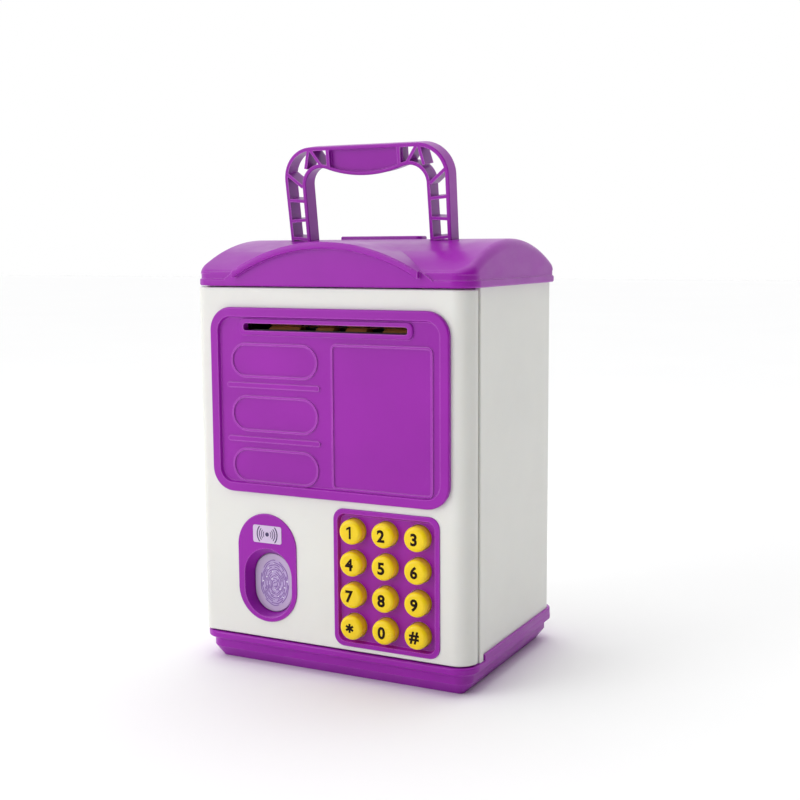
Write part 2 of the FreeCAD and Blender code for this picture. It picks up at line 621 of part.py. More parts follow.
def handle():
    """Open truss carrying handle with a solid grip, leaning forward on its studs."""
    blank = upright(handle_outline(0.0), HANDLE_DEPTH).cut(upright(handle_gap(0.0), HANDLE_DEPTH + 2))
    core = upright(handle_outline(HANDLE_BAND), HANDLE_DEPTH + 2)
    core = core.cut(upright(handle_gap(HANDLE_BAND), HANDLE_DEPTH + 4))
    frame = blank.cut(core.cut(box((-90, 90), (-50, 50), (0, 187.0))))
    web = core.common(box((-19.0, 19.0), (LEG_Y - 2.2, LEG_Y + 2.2), (200, 240)))
    bars = [web]
    for side in (-1, 1):
        bars.append(box(sorted((side * 17.0, side * 18.6)), (LEG_Y - HANDLE_DEPTH / 2, LEG_Y + HANDLE_DEPTH / 2),
                        (218.0, 231.5)))
        bars.append(strut((side * 26.8, 231.2), (side * 21.4, 223.6), 1.4, HANDLE_DEPTH))
        bars.append(strut((side * 27.6, 231.2), (side * 29.8, 222.6), 1.4, HANDLE_DEPTH))
        bars.append(strut((side * 32.2, 214.6), (side * 39.8, 220.6), 1.5, HANDLE_DEPTH))
        for low_z, rise in ((208.0, 0.8), (199.6, -0.5), (190.6, 0.8)):
            bars.append(strut((side * 31.2, low_z), (side * 40.2, low_z + rise), 1.4, HANDLE_DEPTH))
    frame = fuse([frame] + [bar.common(blank) for bar in bars])
    frame = rounded(frame, 0.5, lambda e: e.Length > 30 and abs(abs(e.BoundBox.YMin - LEG_Y) - HANDLE_DEPTH / 2) < 0.01
                    and e.BoundBox.YLength < 0.01 and e.BoundBox.ZMax > 215)
    feet = []
    for side in (-1, 1):
        x = sorted((side * HANDLE_GAP_X, side * HANDLE_FOOT_X))
        feet.append(rod(HANDLE_DEPTH / 2, (x[0], LEG_Y, PIVOT_Z), (x[1], LEG_Y, PIVOT_Z)))
        feet.append(rod(STUD_R, (side * (HANDLE_FOOT_X - 1.4), LEG_Y, PIVOT_Z), (side * STUD_TIP_X, LEG_Y, PIVOT_Z)))
    frame = fuse([frame] + feet)
    frame.rotate(Vector(0, LEG_Y, PIVOT_Z), Vector(1, 0, 0), HANDLE_LEAN)
    return frame


# ---- door ----

def door_shell():
    """White front door: a shallow tray with rounded upright corners and three windows."""
    door = box((-SIDE_X, SIDE_X), (FRONT_Y, DOOR_BACK_Y), DOOR_Z)
    for side, radius in ((1, CORNER_R), (-1, HINGE_CORNER_R)):
        door = rounded(door, radius, lambda e: e.BoundBox.ZLength > 100 and e.BoundBox.YMax < FRONT_Y + 0.1
                       and e.CenterOfMass.x * side > SIDE_X - 0.1)
    door = rounded(door, 0.8, lambda e: e.BoundBox.ZLength < 0.01 and e.BoundBox.YMax < DOOR_BACK_Y - 0.01)
    door = rounded(door, 0.7, lambda e: e.BoundBox.ZLength > 100 and e.BoundBox.YMin > DOOR_BACK_Y - 0.1)
    inner = plan_block((-SIDE_X + DOOR_WALL, SIDE_X - DOOR_WALL), (INNER_Y, DOOR_BACK_Y + 20),
                       (DOOR_Z[0] + DOOR_WALL, DOOR_Z[1] - DOOR_WALL), CORNER_R - DOOR_WALL)
    door = door.cut(inner)
    posts = [rod(2.8, (x, INNER_Y - 0.5, z), (x, COVER_FLANGE_Y[0], z)) for x, z in COVER_SCREWS]
    for low, high in ((DOOR_Z[0], DOOR_Z[0] + 11.0), (DOOR_Z[1] - 11.0, DOOR_Z[1])):
        posts.append(rod(HINGE_BOSS_R, (HINGE_X, HINGE_Y, low), (HINGE_X, HINGE_Y, high)))
    door = fuse([door] + posts)
    cuts = [front_block(grown((-PLUG_X, PLUG_X), 0.2), grown(PLUG_Z, 0.2), (FRONT_Y - 1, INNER_Y + 1), 8.0),
            front_block(grown(KEYPAD_X, -KEYPAD_LAP), grown(KEYPAD_Z, -KEYPAD_LAP), (FRONT_Y - 1, INNER_Y + 1),
                        KEYPAD_R - KEYPAD_LAP),
            front_block(grown(FINGER_X, -1.8), grown(FINGER_Z, -1.8), (FRONT_Y - 1, INNER_Y + 1), 40.0)]
    for low, high in ((DOOR_Z[0] - 1, DOOR_Z[0] + 12.0), (DOOR_Z[1] - 12.0, DOOR_Z[1] + 1)):
        cuts.append(rod(HINGE_PIN_R, (HINGE_X, HINGE_Y, low), (HINGE_X, HINGE_Y, high)))
    cuts += [rod(1.1, (x, INNER_Y, z), (x, INNER_Y + 9, z)) for x, z in COVER_SCREWS]
    return door.cut(cuts)


def raised_outline(x, z, radius):
    """A thin raised rib along a rounded rectangle on the slot panel's floor."""
    floor_y = FRONT_Y - PANEL_PROUD + PANEL_RECESS
    span = (floor_y - 0.6, floor_y + 0.3)
    ring = front_block(x, z, span, radius)
    inner = front_block(grown(x, -RIB), grown(z, -RIB), grown(span, 1.0), max(radius - RIB, 0.4))
    return ring.cut(inner)


def slot_panel():
    """Purple upper panel: raised border, note slot with a rim, and raised key outlines."""
    face_y = FRONT_Y - PANEL_PROUD
    floor_y = face_y + PANEL_RECESS
    plate = front_block((-PANEL_X, PANEL_X), PANEL_Z, (face_y, FRONT_Y), PANEL_R)
    plate = rounded(plate, 0.7, level_edges("y", face_y))
    recess = front_taper((grown((-PANEL_X, PANEL_X), -PANEL_BORDER), grown(PANEL_Z, -PANEL_BORDER), PANEL_R - 4.0),
                         (grown((-PANEL_X, PANEL_X), -PANEL_BORDER - 0.6), grown(PANEL_Z, -PANEL_BORDER - 0.6),
                          PANEL_R - 4.6), (face_y, floor_y))
    plate = plate.cut(recess)
    plug = front_block((-PLUG_X, PLUG_X), PLUG_Z, (floor_y + 0.1, INNER_Y), 7.8)
    rim = front_block(SLOT_RIM_X, SLOT_RIM_Z, (floor_y - 1.0, floor_y + 0.5), 2.6)
    rim = rounded(rim, 0.6, level_edges("y", floor_y - 1.0))
    pieces = [plate, plug, rim]
    for low, high in ((129.8, 144.9), (105.9, 121.7), (82.9, 98.3)):
        pieces.append(raised_outline((-48.1, -4.0), (low, high), (high - low) / 2.0))
    for low, high in ((125.2, 127.4), (101.2, 103.4)):
        pieces.append(front_block((-50.3, -3.0), (low, high), (floor_y - 0.6, floor_y + 0.3), 1.0))
    pieces.append(raised_outline((2.7, 50.7), (83.0, 145.7), 2.5))
    panel = fuse(pieces)
    return panel.cut(front_block(SLOT_X, SLOT_Z, (FRONT_Y - 10, INNER_Y + 1), 1.2))


def key_places():
    """Each key's name with the (x, z) of its centre."""
    places = []
    for row, names in enumerate(KEY_NAMES):
        for column, name in enumerate(names):
            places.append((name, KEY_X + (column - 1) * KEY_PITCH_X, KEY_TOP_Z - row * KEY_PITCH_Z))
    return places


def keypad_plate():
    """Purple tray with twelve round holes for the keys."""
    face_y = FRONT_Y - KEYPAD_PROUD
    rim = front_block(KEYPAD_X, KEYPAD_Z, (face_y, FRONT_Y), KEYPAD_R)
    rim = rounded(rim, 0.4, level_edges("y", face_y))
    inset = KEYPAD_LAP + 0.2
    cup = front_block(grown(KEYPAD_X, -inset), grown(KEYPAD_Z, -inset), (FRONT_Y - 0.2, KEYPAD_BACK_Y),
                      KEYPAD_R - inset)
    plate = fuse([rim, cup])
    foot = KEYPAD_BORDER + 0.8
    floor = front_taper((grown(KEYPAD_X, -KEYPAD_BORDER), grown(KEYPAD_Z, -KEYPAD_BORDER), KEYPAD_R - 1.4),
                        (grown(KEYPAD_X, -foot), grown(KEYPAD_Z, -foot), KEYPAD_R - 2.2), (face_y, KEYPAD_FLOOR_Y))
    holes = [rod(KEY_R + CLEARANCE, (x, face_y - 1, z), (x, KEYPAD_BACK_Y + 1, z)) for _, x, z in key_places()]
    return plate.cut([floor] + holes)


def key(x, z):
    """A round push key with a softly domed face and a flange that keeps it in its hole."""
    cap = rod(KEY_R, (x, KEY_FACE_Y, z), (x, KEYPAD_BACK_Y + CLEARANCE, z))
    cap = rounded(cap, KEY_EDGE_R, level_edges("y", KEY_FACE_Y))
    flange = rod(KEY_R + 0.75, (x, KEYPAD_BACK_Y + CLEARANCE, z), (x, KEYPAD_BACK_Y + CLEARANCE + 1.0, z))
    return fuse([cap, flange])


def keypad_mat():
    """Grey silicone mat with a dome behind each key."""
    back_y = BOARD_Y
    sheet = front_block(grown(KEYPAD_X, -2.2), (17.4, 73.0), (back_y - 1.0, back_y), 3.0)
    flange_back = KEYPAD_BACK_Y + CLEARANCE + 1.0
    front_y = flange_back + KEY_TRAVEL + 0.1
    domes = []
    for _, x, z in key_places():
        domes.append(Part.makeCone(3.6, 2.6, back_y - 0.8 - front_y, Vector(x, back_y - 0.8, z), Vector(0, -1, 0)))
    return fuse([sheet] + domes)


def fingerprint_plate():
    """Purple plate with a scooped well that leads the finger to the button."""
    face_y = FRONT_Y - FINGER_PROUD
    plate = front_block(FINGER_X, FINGER_Z, (face_y, FRONT_Y), 20.0)
    plate = rounded(plate, 0.4, level_edges("y", face_y))
    cup = front_block(grown(FINGER_X, -2.0), grown(FINGER_Z, -2.0), (FRONT_Y - 0.2, FINGER_BACK_Y), 20.0)
    plate = fuse([plate, cup])
    well = front_taper((SCOOP_X, SCOOP_Z, 20.0), (grown(LENS_X, CLEARANCE), grown(LENS_Z, CLEARANCE), 20.0),
                       (face_y, LENS_Y))
    bore = front_block(grown(LENS_X, CLEARANCE), grown(LENS_Z, CLEARANCE), (LENS_Y - 0.01, FINGER_BACK_Y + 1), 20.0)
    return plate.cut([well, bore])


def fingerprint_lens():
    """Lilac oval button at the bottom of the well, with a flange behind the plate."""
    lens = front_block(LENS_X, LENS_Z, (LENS_Y, FINGER_BACK_Y + CLEARANCE + 0.4), 20.0)
    lens = rounded(lens, 0.5, level_edges("y", LENS_Y))
    flange = front_block(grown(LENS_X, 1.0), grown(LENS_Z, 1.0),
                         (FINGER_BACK_Y + CLEARANCE, LENS_Y + LENS_T), 20.0)
    return fuse([lens, flange])


def icon_sticker():
    """Small label above the well."""
    face_y = FRONT_Y - FINGER_PROUD
    return front_block(STICKER_X, STICKER_Z, (face_y - STICKER_T, face_y), 1.0)


def finger_switch():
    """Low push switch behind the fingerprint button."""
    middle_x = sum(LENS_X) / 2.0
    middle_z = sum(LENS_Z) / 2.0
    return box((middle_x - 3, middle_x + 3), (BOARD_Y - 0.5, BOARD_Y), (middle_z - 3, middle_z + 3))


def circuit_board():
    """One circuit board behind the keypad and the fingerprint button, with its chips."""
    board = front_block((-46.0, 50.0), (23.0, 75.0), (BOARD_Y, BOARD_Y + BOARD_T), 1.5)
    chips = [box((x, x + w), (BOARD_Y + BOARD_T, BOARD_Y + BOARD_T + 1.2), (z, z + h))
             for x, z, w, h in ((-8.0, 50.0, 12.0, 12.0), (-34.0, 58.0, 9.0, 6.0), (10.0, 62.0, 8.0, 5.0))]
    return fuse([board] + chips)


def door_back_cover():
    """The housing behind the door: a flanged box with the note outlet and the battery opening."""
    flange = front_block(grown(COVER_X, 6.0), (17.0, 166.0), COVER_FLANGE_Y, 3.0)
    hull = front_block(COVER_X, COVER_Z, (COVER_FLANGE_Y[0], COVER_BACK_Y), 3.0)
    cover = fuse([flange, hull])
    cover = rounded(cover, 1.0, level_edges("y", COVER_BACK_Y))
    inside = front_block(grown(COVER_X, -COVER_T), grown(COVER_Z, -COVER_T),
                         (COVER_FLANGE_Y[0] - 1, COVER_BACK_Y - COVER_T), 2.0)
    cuts = [inside]
    cuts.append(box((-42.0, 42.0), (COVER_BACK_Y - 5, COVER_BACK_Y + 1), NOTE_OUT_Z))
    cuts.append(front_block((2.0, 50.0), (77.0, 132.0), (COVER_BACK_Y - 5, COVER_BACK_Y + 1), 1.5))
    cuts.append(box((COVER_X[1] - 4, COVER_X[1] + 1), grown(BOLT_Y, BOLT_PLAY), grown(BOLT_Z, BOLT_PLAY)))
    cuts += [rod(1.4, (x, COVER_FLANGE_Y[0] - 1, z), (x, COVER_FLANGE_Y[1] + 1, z)) for x, z in COVER_SCREWS]
    for row in range(-2, 3):
        for column in range(-2, 3):
            if abs(row) + abs(column) < 4:
                x, z = SPEAKER[0] + 4.5 * column, SPEAKER[1] + 4.5 * row
                cuts.append(rod(1.0, (x, COVER_BACK_Y - 5, z), (x, COVER_BACK_Y + 1, z)))
    return cover.cut(cuts)


def battery_holder():
    """Open tray that holds three cells side by side."""
    front_y = CELL_Y - CELL_R - 1.3
    back_y = COVER_BACK_Y - COVER_T
    outer = box((1.4, 50.6), (front_y, back_y), (CELL_Z - 1.9, CELL_Z + CELL_L + 1.9))
    bays = [box((x - CELL_R - 0.3, x + CELL_R + 0.3), (front_y + 1.0, back_y + 1),
                (CELL_Z - 0.7, CELL_Z + CELL_L + 0.7)) for x in CELL_X]
    return outer.cut(bays)


def batteries():
    """Three AA cells."""
    cells = []
    for index, x in enumerate(CELL_X):
        can = rod(CELL_R, (x, CELL_Y, CELL_Z), (x, CELL_Y, CELL_Z + CELL_L - 1.5))
        can = rounded(can, 0.6, lambda e: e.Length > 30)
        cell = can.fuse(rod(2.7, (x, CELL_Y, CELL_Z + CELL_L - 2.0), (x, CELL_Y, CELL_Z + CELL_L)))
        if index % 2:
            cell.rotate(Vector(x, CELL_Y, CELL_Z + CELL_L / 2.0), Vector(1, 0, 0), 180)
        cells.append(cell)
    return group(cells)


def battery_contacts():
    """Sprung metal plates at both ends of the cells."""
    plates = []
    for x in CELL_X:
        for low in (CELL_Z - 0.6, CELL_Z + CELL_L + 0.1):
            plates.append(box((x - 5.0, x + 5.0), (CELL_Y - 5.0, CELL_Y + 5.0), (low, low + 0.5)))
    return group(plates)


def battery_cover():
    """Flat lid over the cells, held by one screw."""
    lid = front_block((-1.0, 53.0), (74.5, 134.5), (COVER_BACK_Y, COVER_BACK_Y + 1.4), 2.5)
    lid = rounded(lid, 0.5, level_edges("y", COVER_BACK_Y + 1.4))
    plug = front_block((2.2, 49.8), (77.2, 131.8), (COVER_BACK_Y - 1.2, COVER_BACK_Y + 0.2), 1.3)
    lid = fuse([lid, plug])
    hole = rod(1.3, (0.5, COVER_BACK_Y - 5, 105.0), (0.5, COVER_BACK_Y + 5, 105.0))
    ribs = [box((40.0, 48.0), (COVER_BACK_Y + 0.9, COVER_BACK_Y + 2), (100.0 + step, 101.0 + step))
            for step in range(0, 12, 2)]
    return lid.cut([hole] + ribs)


def door_screws():
    """Six screws that hold the housing to the door."""
    return group([screw((x, COVER_FLANGE_Y[1] + 1.7, z), (x, INNER_Y + 1.5, z), 2.5, 1.7, 1.1)
                  for x, z in COVER_SCREWS])


def hinge_pins():
    """Two steel pins, pressed into the door, that turn in the tray and the roof."""
    low = rod(HINGE_PIN_R, (HINGE_X, HINGE_Y, DECK_Z - 5.0), (HINGE_X, HINGE_Y, DOOR_Z[0] + 11.0))
    high = rod(HINGE_PIN_R, (HINGE_X, HINGE_Y, DOOR_Z[1] - 11.0), (HINGE_X, HINGE_Y, ROOF_Z + 4.0))
    return group([low, high])


def speaker():
    """Small loudspeaker behind its holes."""
    x, z = SPEAKER
    back = COVER_BACK_Y - COVER_T
    rim = rod(SPEAKER_R, (x, back - 1.5, z), (x, back, z))
    cup = Part.makeCone(5.5, 12.5, 3.5, Vector(x, back - 5.0, z), Vector(0, 1, 0))
    magnet = rod(6.5, (x, back - 7.5, z), (x, back - 4.8, z))
    return fuse([rim, cup, magnet])


# ---- note feeder ----

def roller_frame():
    """Black frame with two bearing plates, the note guides and the stub of the middle gear."""
    plates = []
    for side in (-1, 1):
        x = sorted((side * BEARING_X[0], side * BEARING_X[1]))
        low = TRAIN_Z - 4.5 if side < 0 else DRIVE_Z - 4.5
        plates.append(box(x, (ROLLER_Y - 4.8, COVER_BACK_Y - COVER_T - 0.2), (low, IDLER_Z + 3.4)))
    for z in ((NIP_Z - 2.6, NIP_Z - 1.4), (NIP_Z + 1.4, NIP_Z + 2.6)):
        for y in ((INNER_Y + 0.2, ROLLER_Y - 4.75), (ROLLER_Y + 4.75, COVER_BACK_Y - COVER_T - 0.2)):
            plates.append(box((-BEARING_X[1], BEARING_X[1]), y, z))
    stub = rod(TRAIN_PIN_R, (-BEARING_X[1] + 0.5, TRAIN_Y, TRAIN_Z), (-GEAR_X[1] - 0.2, TRAIN_Y, TRAIN_Z))
    shoulder = rod(TRAIN_PIN_R + 1.0, (-BEARING_X[1] + 0.5, TRAIN_Y, TRAIN_Z), (-GEAR_X[0] + 0.3, TRAIN_Y, TRAIN_Z))
    frame = fuse(plates + [stub, shoulder])
    bores = [rod(SHAFT_R + SHAFT_FIT, (-60, ROLLER_Y, z), (60, ROLLER_Y, z)) for z in (DRIVE_Z, IDLER_Z)]
    return frame.cut(bores)


def roller_shaft(z, left):
    """A steel roller shaft along X."""
    return rod(SHAFT_R, (left, ROLLER_Y, z), (GEAR_X[1] + 0.5, ROLLER_Y, z))


def rollers(z):
    """Four tan rubber rollers on a shaft."""
    tubes = []
    for low, high in ROLLER_SPANS:
        tube = rod(ROLLER_R, (low, ROLLER_Y, z), (high, ROLLER_Y, z))
        tube = rounded(tube, 0.4, lambda e: e.Length > 20 and e.BoundBox.XLength < 0.01)
        tubes.append(tube.cut(rod(SHAFT_R, (low - 1, ROLLER_Y, z), (high + 1, ROLLER_Y, z))))
    return group(tubes)


def drive_gear():
    """The gear on the drive shaft's left end."""
    x = (-GEAR_X[1], -GEAR_X[0])
    return gear(ROLLER_TEETH, MODULE, x, (ROLLER_Y, DRIVE_Z), TRAIN_ANGLE + 180.0 / ROLLER_TEETH, SHAFT_R)


def train_gear():
    """The middle gear, which turns on the frame's stub."""
    x = (-GEAR_X[1], -GEAR_X[0])
    return gear(TRAIN_TEETH, MODULE, x, (TRAIN_Y, TRAIN_Z), TRAIN_ANGLE + 180.0, TRAIN_PIN_R + SHAFT_FIT)


def motor_pinion():
    """The motor's pinion with the motor's shaft."""
    x = (-GEAR_X[1], -GEAR_X[0])
    tooth_step = 360.0 / TRAIN_TEETH
    to_motor = -90.0 - (TRAIN_ANGLE + 180.0)
    offset = math.ceil(to_motor / tooth_step) * tooth_step - to_motor
    gap_angle = 90.0 - offset * TRAIN_TEETH / PINION_TEETH
    wheel = gear(PINION_TEETH, MODULE, x, (TRAIN_Y, MOTOR_Z), gap_angle + 180.0 / PINION_TEETH, MOTOR_SHAFT_R)
    shaft = rod(MOTOR_SHAFT_R, (-GEAR_X[1] - 0.2, TRAIN_Y, MOTOR_Z), (-38.5, TRAIN_Y, MOTOR_Z))
    return wheel.fuse(shaft).removeSplitter()


def link_gear(z, tooth_angle):
    """One of the equal gears that join the two roller shafts."""
    return gear(LINK_TEETH, LINK_MODULE, GEAR_X, (ROLLER_Y, z), tooth_angle, SHAFT_R)


def feed_motor():
    """Small can motor for the rollers, with its end cap."""
    can = rod(MOTOR_R, (-41.0, TRAIN_Y, MOTOR_Z), (-18.0, TRAIN_Y, MOTOR_Z))
    can = rounded(can, 0.8, lambda e: e.Length > 30 and e.BoundBox.XLength < 0.01)
    nose = rod(2.6, (-41.0, TRAIN_Y, MOTOR_Z), (-39.0, TRAIN_Y, MOTOR_Z))
    tail = rod(3.0, (-18.5, TRAIN_Y, MOTOR_Z), (-16.8, TRAIN_Y, MOTOR_Z))
    motor = fuse([can, nose, tail])
    return motor.cut(rod(MOTOR_SHAFT_R + SHAFT_FIT, (-45.0, TRAIN_Y, MOTOR_Z), (-37.5, TRAIN_Y, MOTOR_Z)))


# ---- lock ----

def lock_solenoid():
    """Coil and yoke that pull the bolt, on the back of the door."""
    middle_y = sum(BOLT_Y) / 2.0
    middle_z = sum(BOLT_Z) / 2.0
    yoke = box((24.0, 43.0), grown(BOLT_Y, 2.2), grown(BOLT_Z, 3.2))
    window = box((25.2, 41.8), grown(BOLT_Y, 4.0), grown(BOLT_Z, 2.0))
    coil = rod(4.2, (26.0, middle_y, middle_z), (41.0, middle_y, middle_z))
    core = rod(2.0, (24.5, middle_y, middle_z), (42.5, middle_y, middle_z))
    solenoid = fuse([yoke.cut(window), coil, core])
    return solenoid.cut(rod(1.3, (30.0, middle_y, middle_z), (44.0, middle_y, middle_z)))


def latch_bolt():
    """Bevelled bolt with the plunger rod that enters the coil."""
    middle_y = sum(BOLT_Y) / 2.0
    middle_z = sum(BOLT_Z) / 2.0
    bolt = box((49.0, BOLT_TIP_X), BOLT_Y, BOLT_Z)
    wedge = Part.makePolygon([Vector(BOLT_TIP_X + 0.1, BOLT_Y[1] + 0.1, 0), Vector(BOLT_TIP_X - 2.5, BOLT_Y[1] + 0.1, 0),
                              Vector(BOLT_TIP_X + 0.1, BOLT_Y[1] - 3.5, 0), Vector(BOLT_TIP_X + 0.1, BOLT_Y[1] + 0.1, 0)])
    wedge = Part.Face(wedge).extrude(Vector(0, 0, 20))
    wedge.translate(Vector(0, 0, BOLT_Z[0] - 5))
    plunger = rod(1.0, (36.0, middle_y, middle_z), (50.0, middle_y, middle_z))
    return fuse([bolt.cut(wedge), plunger])


def latch_spring():
    """Coil spring between the solenoid and the bolt."""
    middle_y = sum(BOLT_Y) / 2.0
    middle_z = sum(BOLT_Z) / 2.0
    turns = []
    for step in range(5):
        x = 43.4 + step * 1.15
        ring = Part.makeTorus(1.9, 0.35, Vector(x, middle_y, middle_z), Vector(1, 0, 0))
        turns.append(ring)
    return group(turns)


def nodes():
    """Every node's name with its shape."""
    parts = {
        "base_tray": base_tray(), "body_shell": body_shell(), "roof_shell": roof_shell(),
        "coin_guide": coin_guide(), "base_screws": base_screws(), "roof_screws": roof_screws(),
        "handle": handle(),
        "door_shell": door_shell(), "slot_panel": slot_panel(), "keypad_plate": keypad_plate(),
        "keypad_mat": keypad_mat(), "fingerprint_plate": fingerprint_plate(), "icon_sticker": icon_sticker(),
        "finger_switch": finger_switch(), "circuit_board": circuit_board(), "door_back_cover": door_back_cover(),
        "battery_holder": battery_holder(), "batteries": batteries(), "battery_contacts": battery_contacts(),
        "battery_cover": battery_cover(), "door_screws": door_screws(), "hinge_pins": hinge_pins(),
        "speaker": speaker(), "roller_frame": roller_frame(), "feed_motor": feed_motor(),
        "lock_solenoid": lock_solenoid(), "fingerprint_lens": fingerprint_lens(),
        "drive_shaft": roller_shaft(DRIVE_Z, -GEAR_X[1] - 0.5), "drive_rollers": rollers(DRIVE_Z),
        "drive_gear": drive_gear(), "drive_link_gear": link_gear(DRIVE_Z, 90.0),
        "idler_shaft": roller_shaft(IDLER_Z, -BEARING_X[1] - 0.4), "idler_rollers": rollers(IDLER_Z),
        "idler_link_gear": link_gear(IDLER_Z, -90.0 + 180.0 / LINK_TEETH),
        "train_gear": train_gear(), "motor_pinion": motor_pinion(),
        "latch_bolt": latch_bolt(), "latch_spring": latch_spring(),
    }
    for name, x, z in key_places():
        parts["key_" + name] = key(x, z)
    return parts


def main():
    """Write one STEP file for each node."""
    os.makedirs("parts", exist_ok=True)
    to_ground = Vector(0, -MIDDLE_Y, -GROUND_Z)
    for name, shape in nodes().items():
        shape.translate(to_ground)
        shape.exportStep("parts/" + name + ".step")


main()
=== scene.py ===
import json
import math

import bmesh
import bpy
from mathutils import Matrix, Vector


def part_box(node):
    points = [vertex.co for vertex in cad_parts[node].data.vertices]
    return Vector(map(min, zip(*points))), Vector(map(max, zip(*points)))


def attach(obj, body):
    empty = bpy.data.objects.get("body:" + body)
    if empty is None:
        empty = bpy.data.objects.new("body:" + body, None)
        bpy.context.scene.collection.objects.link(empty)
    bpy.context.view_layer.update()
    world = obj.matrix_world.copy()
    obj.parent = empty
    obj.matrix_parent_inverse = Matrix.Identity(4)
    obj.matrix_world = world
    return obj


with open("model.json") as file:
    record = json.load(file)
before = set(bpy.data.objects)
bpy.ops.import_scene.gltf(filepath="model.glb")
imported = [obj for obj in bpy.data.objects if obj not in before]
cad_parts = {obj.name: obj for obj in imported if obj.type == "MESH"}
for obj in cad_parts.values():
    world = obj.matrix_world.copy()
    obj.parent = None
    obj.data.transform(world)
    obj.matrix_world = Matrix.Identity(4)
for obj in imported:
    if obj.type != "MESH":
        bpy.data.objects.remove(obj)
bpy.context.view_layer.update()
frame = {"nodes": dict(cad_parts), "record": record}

MM = 0.001
FRONT_VIEW = {"yaw": 26.91, "pitch": -7.03, "roll": -0.34, "lens": 56.6}
CAMERA_AT = Vector((0.2698, -0.5110, 0.1886))
DARK_SIDE = (0.80, -0.55, 0.10)
DARK_WALL = 0.10
WALL_TURN = (0.05, 0.75)
CEILING_POWER = 1.05
CEILING_SPREAD = 70.0
CEILING_AIM = (0.04, -0.02, -1.0)
FRONT_LIGHT = {"place": (-0.75, -0.95, 0.55), "aim": (0.0, 0.0, 0.11), "size": (0.7, 0.7), "power": 4.4}
FLOOR_HALF = 6.0

FLOW_SCALE = 22.0
SMEAR_SCALE = 70.0
GRAIN_SCALE = 1300.0
RELIEF = 0.1 * MM
EDGE_WIDTH = 0.9 * MM
HIGHLIGHT_SHARE = 0.55
SHARP_EDGE = 24.0

INK_HEIGHT = 0.03 * MM
SIGN_TALL = 5.4 * MM
STAR_TALL = SIGN_TALL * 0.74
SIGN_WEIGHT = 0.036
SIGN_SHIFT = -0.35 * MM
ARM_HALF_WIDTH = 0.125
ONE_OUTLINE = [(0.06, 0.0), (0.24, 0.0), (0.24, 1.0), (0.10, 1.0), (-0.16, 0.86), (-0.16, 0.68), (0.06, 0.79)]

PRINT_SHIFT = 0.6 * MM
PRINT_WIDE = 7.5 * MM
PRINT_TALL = 10.7 * MM
FIELD_PROUD = 0.06 * MM
RIDGE_PROUD = 0.12 * MM
SPARK_PROUD = 0.16 * MM
RIDGE_WIDTH = 0.36 * MM
RIDGE_RINGS = 11
RIM_POINTS = 72
SPARKS = 22
GOLDEN_ANGLE = 2.399963

ICON_DOT = 0.95 * MM
ICON_WAVES = ((2.0, 38.0, 0.36), (3.0, 40.0, 0.38), (4.0, 42.0, 0.42), (5.2, 43.0, 0.55))


# ---- shader helpers ----

